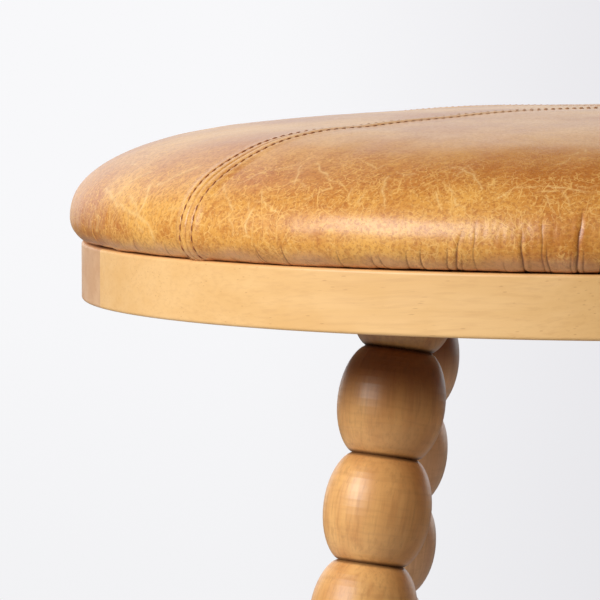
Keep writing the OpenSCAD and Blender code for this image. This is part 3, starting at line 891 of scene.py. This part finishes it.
def leather_marks(dome, down, azimuth, places, valley_shade, distance):
    """What the leather's finish needs at each place of the cover, by name."""
    above = dome.end - down
    away = np.abs(distance)
    strip = above + 0.9 * MM * swell(places, 12 * MM, 6)
    # Painted shade in the stitch furrows, and along the line where the panels meet
    rows = 0.5 * ease(down, -40 * MM, 200 * MM) * bell(away - STITCH_OFFSET, 0.35 * MM)
    furrow = np.maximum(0.3 * bell(distance, 0.3 * MM), rows)

    # Random clouds and rubbing, but not on the front panel's shown part, which follows the photograph
    free = ease(azimuth, -90, -70)
    tone = 0.5 + 0.24 * swell(places, 55 * MM, 21) * free
    rubbed = 0.05 * bell(above - 22 * MM, 22 * MM) + 0.09 * free * swell(places, 40 * MM, 22)
    return {
        # Wear, with a painted highlight, on the seams' raised bands
        "wear_and_highlight": bell(away - 1.6 * MM, 1.0 * MM) + 0.6 * bell(away - 5.6 * MM, 0.8 * MM),
        # A browner strip by the hem, in part painted shade where the cover turns under
        "hem_shade_and_tone": ease(strip, 10.5 * MM, 3.5 * MM),
        "hollow_shade": np.maximum(valley_shade, furrow),
        "tone": tone + patch_sum(SEEN_PATCHES, down, azimuth, dome),
        "rubbed": rubbed + patch_sum(SEEN_SCUFFS, down, azimuth, dome),
        "scored": scored(down, azimuth, places, dome),
    }


def store(piece, name, values, kind="FLOAT", key="value", width=1):
    """Keeps values for the first points of a piece, and zeros for the others."""
    filled = np.zeros(len(piece.data.vertices) * width, np.float32)
    filled[: values.size] = values.ravel()
    piece.data.attributes.new(name, kind, "POINT").data.foreach_set(key, filled)


def leather_cover(dome, cover, finish):
    """The four panels as one drawn-on cover, with its hem turned in under the board."""
    downs = ring_lengths(dome)
    azimuth = cover_columns(dome.at(dome.radius, downs), narrowed(downs, dome))
    down = np.repeat(downs[:, None], azimuth.shape[1], axis=1)
    lift, valley_shade, distance = cover.lift(down, azimuth)
    places = dome.point(down, azimuth, lift * (0.3 + 0.7 * ease(down, 0, 18 * MM)))

    # The hem runs up and down a little along the hoop
    wave = swell(places * (1, 1, 0), 30 * MM, 8)
    places[..., 2] += 0.22 * MM * (wave - 0.6) * ease(down, dome.end - 7 * MM, dome.end)

    sheet = with_hem(places, azimuth[-1])
    rows, columns = sheet.shape[:2]
    crown = places[0].mean(axis=0)
    faces = grid_faces(rows, columns)
    faces += [(rows * columns, j, (j + 1) % columns) for j in range(columns)]
    piece = mesh_piece("leather_cover", np.concatenate([sheet.reshape(-1, 3), crown[None]]), faces)
    for name, values in leather_marks(dome, down, azimuth, places, valley_shade, distance).items():
        store(piece, name, values)
    store(piece, "skin", round_place(down, azimuth, 0.0), "FLOAT_VECTOR", "vector", 3)
    piece.data.materials.append(finish)
    return piece


def stitch_rows(dome, cover, finish):
    """Two rows of stitches along each seam: short tubes that dive into the leather at both ends."""
    rings, sides = 7, 8
    share = np.linspace(0, 1, rings)
    arch = np.sin(np.pi * share)
    rise = THREAD_D * (0.62 * arch ** 0.6 - 0.35)
    thick = 0.5 * THREAD_D * (0.55 + 0.45 * arch ** 0.5)[:, None, None]
    around = np.linspace(0, 2 * np.pi, sides, endpoint=False)[:, None]
    count = int((dome.end - SEAM_START) / STITCH_PITCH)
    firsts = SEAM_START + np.arange(count) * STITCH_PITCH
    down = firsts[:, None] + share * STITCH_L
    radius = np.maximum(dome.at(dome.radius, down), 8 * MM)
    off = np.degrees(np.arcsin(STITCH_OFFSET * narrowed(down, dome) / radius))
    tubes = []
    for quarter in range(4):
        for side in (-1, 1):
            azimuth = SEAM_TURN + QUARTER * quarter + side * off
            height = cover.lift(down, azimuth)[0] + rise
            centre = dome.point(down, azimuth, height)
            up = dome.point(down, azimuth, height + 1.0) - centre
            across = np.cross(np.gradient(centre, axis=1), up)
            across /= np.linalg.norm(across, axis=-1, keepdims=True)
            circle = across[:, :, None] * np.cos(around) + up[:, :, None] * np.sin(around)
            tubes.append(centre[:, :, None] + thick * circle)

    # One tube's faces, with both its ends, and then those of all the tubes
    tube = [(first, *others[::-1]) for first, *others in grid_faces(rings, sides)]
    tube += [range(sides)[::-1], range((rings - 1) * sides, rings * sides)]
    bases = range(0, len(tubes) * count * rings * sides, rings * sides)
    faces = [tuple(base + corner for corner in face) for base in bases for face in tube]
    piece = mesh_piece("seam_stitches", np.concatenate(tubes), faces)
    piece.data.materials.append(finish)
    return piece


def dress_cushion():
    """Leather cover and stitches, in place of the four plain panels."""
    dome = Dome()
    cover = Cover(dome, cloth_puff(dome))
    leather = leather_cover(dome, cover, leather_finish())
    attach(leather, "root")
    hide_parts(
        "leather_panel_front", "leather_panel_right", "leather_panel_back", "leather_panel_left")
    stitches = stitch_rows(dome, cover, thread_finish())
    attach(stitches, "root")


# Finishes of the carried-over solids

def paint(name, material):
    """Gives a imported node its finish."""
    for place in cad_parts[name].material_slots:
        place.material = material


def dress_hoop():
    """Beech segments, each from its own board and of its own tone."""
    fleck = linear(188, 126, 74)
    segments = {
        "ring_segment_front": (246.7, 3.0, linear(247, 200, 136), linear(232, 180, 110)),
        "ring_segment_left": (156.7, -1.0, linear(226, 180, 134), linear(196, 142, 96)),
        "ring_segment_back": (66.7, 0.8, linear(243, 198, 142), linear(226, 176, 120)),
        "ring_segment_right": (-23.3, -1.4, linear(238, 190, 134), linear(220, 168, 112)),
    }
    for name, (middle, rise, pale, deep) in segments.items():
        grain = round_frame(middle, rise)
        f = wood_finish("beech_" + name, grain, pale, deep, fleck, roughness=0.45, figure=0.45, marks=0.45)
        if name == "ring_segment_left":
            darkened(f, linear(206, 184, 168), *JOINT_SHADE)
        paint(name, f.material)


def dress_turnings():
    """Legs and rails in honey beech, the grain along each, with the back legs painted paler and greyer as a
    haze of light.
    """
    honey = linear(243, 187, 116), linear(220, 156, 90), linear(160, 100, 54)
    haze_tones = linear(243, 198, 148), linear(226, 174, 126), linear(172, 120, 80)
    smooth = {"roughness": 0.38, "figure": 0.85, "marks": 0.2}
    grooves = (-FIRST_GROOVE, LEG_PITCH)
    for name, turn in LEG_TURNS.items():
        # The back legs' paler, greyer tones are painted haze of light
        tones = haze_tones if "back" in name else honey
        f = wood_finish("beech_" + name, leg_frame(turn), *tones, grooves=grooves, coat=0.22, **smooth)
        # Painted shade on the first ball, where the seat shades the leg
        darkened(f, linear(132, 100, 76), *LEG_PAINTED_SHADE, left=0.45)
        paint(name, f.material)
    for name in ("rail_front", "rail_back", "rail_left", "rail_right"):
        low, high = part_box(name)
        size = high - low
        along = Vector((1, 0, 0)) if size.x > size.y else Vector((0, 1, 0))
        grain = frame_along((low + high) / 2, along)
        paint(name, wood_finish("beech_" + name, grain, *honey, **smooth).material)


def dress_inside():
    """Board, fillings, base and fittings."""
    across = frame_along((0, 0, RING_BOTTOM_Z), Vector((1, 0, 0)))
    sawn = linear(228, 184, 128), linear(206, 156, 100), linear(150, 96, 54)
    paint("wadding", fibre_finish("polyester_wadding", linear(240, 240, 236), linear(226, 226, 220), 120))
    paint("foam_pad", fibre_finish("seat_foam", linear(240, 226, 176), linear(226, 208, 150), 240))
    paint("cushion_board", plywood_finish())
    for name, finish, grain, roughness, figure in (
            ("seat_base", "beech_seat_base", across, 0.5, 0.6),
            ("ring_dowels", "beech_dowels", across, 0.55, 0.4),
            ("tenon_wedges", "beech_wedges", Matrix.Identity(4), 0.5, 0.5)):
        paint(name, wood_finish(finish, grain, *sawn, roughness, figure).material)
    steel = steel_finish()
    for name in ("upholstery_tacks", "cushion_bolts", "bolt_washers", "tee_nuts", "glide_screws"):
        paint(name, steel)
    nylon = nylon_finish()
    for leg in LEG_TURNS:
        paint(leg.replace("leg", "glide"), nylon)


# Studio

def photo_camera():
    """The photograph's viewpoint: a long lens, nearly level with the seat."""
    ahead, right = direction(math.pi / 2 - CAMERA_TURN, -CAMERA_DIP), direction(-CAMERA_TURN)
    turn = Matrix((right, right.cross(ahead), -ahead)).transposed().to_4x4()
    data = bpy.data.cameras.new("photo_camera")
    data.sensor_width = SENSOR_WIDTH
    data.lens = FOCAL_PX / FRAME_PX * SENSOR_WIDTH
    camera = added("photo_camera", data)
    camera.matrix_world = Matrix.Translation(CAMERA_PLACE) @ turn @ Matrix.Rotation(CAMERA_ROLL, 4, "Z")
    bpy.context.scene.camera = camera


def soft_light(name, azimuth, elevation, distance, width, height, power):
    """A rectangular soft box that faces the seat."""
    data = bpy.data.lights.new(name, "AREA")
    data.shape = "RECTANGLE"
    data.size, data.size_y = width, height
    data.energy = power
    towards = direction(math.radians(azimuth), math.radians(elevation))
    added(name, data).matrix_world = frame_along(LIT_PLACE + towards * distance, towards)


def plain_world():
    """The room: a white backdrop behind, a dark room in front. The camera sees only the backdrop's tone."""
    world = bpy.data.worlds.new("studio")
    bpy.context.scene.world = world
    f = Room(world)
    x, y, z = f.direction

    lit = ROOM_LIGHT
    for value, start, end, strength in (
            (y, 0.40, 0.90, BACKDROP_LIGHT), (x, 0.0, 0.9, SIDE_LIGHT),
            (z, 0.30, 0.90, CEILING_LIGHT), (x, -0.3, -0.9, LEFT_LIGHT)):
        lit = f.plus(lit, f.step(value, start, end, high=strength))

    # What gloss mirrors: the backdrop between a lower and an upper edge, the left side and the room
    ahead = f.plus(f.plus(y, f.times(z, 0.5)), f.times(f.math("MAXIMUM", x, 0.0), 0.22))
    under = f.step(f.plus(z, f.math("MINIMUM", x, 0.0)), 0.56, 0.22)
    mirrored = f.times(f.step(ahead, 0.66, 0.92, high=BACKDROP_MIRRORED), under)
    mirrored = f.times(mirrored, f.step(z, -0.20, 0.06))
    mirrored = f.plus(mirrored, f.step(x, -0.5, -0.9, high=LEFT_MIRRORED))
    mirrored = f.plus(mirrored, ROOM_MIRRORED)

    across = f.blend(f.step(x, -0.094, 0.050), linear(248, 248, 250), linear(231, 230, 234))
    shown = f.blend(f.step(z, -0.04, -0.17, high=0.28), across, linear(226, 226, 228))
    f.finish(lit, mirrored, shown)


def studio_floor():
    """A round pale floor that takes the stool's shadow and fades into the backdrop colour."""
    turns = np.linspace(0, 360, FLOOR_SIDES, endpoint=False)
    piece = mesh_piece("floor", round_place(FLOOR_R, turns, 0.0), [tuple(range(FLOOR_SIDES))])
    f = Finish("pale_floor", Roughness=0.8)
    pale = f.blend(f.noise(f.place, 9), linear(232, 232, 234), linear(236, 236, 238))
    seen = f.add("ShaderNodeLightPath").outputs["Is Camera Ray"]
    f.wire(Base_Color=f.blend(seen, linear(188, 188, 190), pale))
    clear = f.add("ShaderNodeBsdfTransparent").outputs["BSDF"]
    faded = f.either(f.step(f.length(f.place), 1.2, 2.6), f.shader.outputs["BSDF"], clear)
    f.set(f.output, {"Surface": faded})
    piece.data.materials.append(f.material)


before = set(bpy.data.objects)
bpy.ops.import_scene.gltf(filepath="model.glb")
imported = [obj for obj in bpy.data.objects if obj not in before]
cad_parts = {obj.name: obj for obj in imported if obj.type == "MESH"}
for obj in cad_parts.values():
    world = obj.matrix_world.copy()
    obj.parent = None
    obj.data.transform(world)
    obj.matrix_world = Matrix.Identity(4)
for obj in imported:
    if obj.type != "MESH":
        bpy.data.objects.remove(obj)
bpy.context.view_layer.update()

photo_camera()
dress_cushion()
dress_hoop()
dress_turnings()
dress_inside()

plain_world()
studio_floor()
soft_light("key", azimuth=-138.5, elevation=25.5, distance=2.0, width=1.3, height=0.95, power=37)
bpy.context.scene.view_settings.view_transform = "Standard"
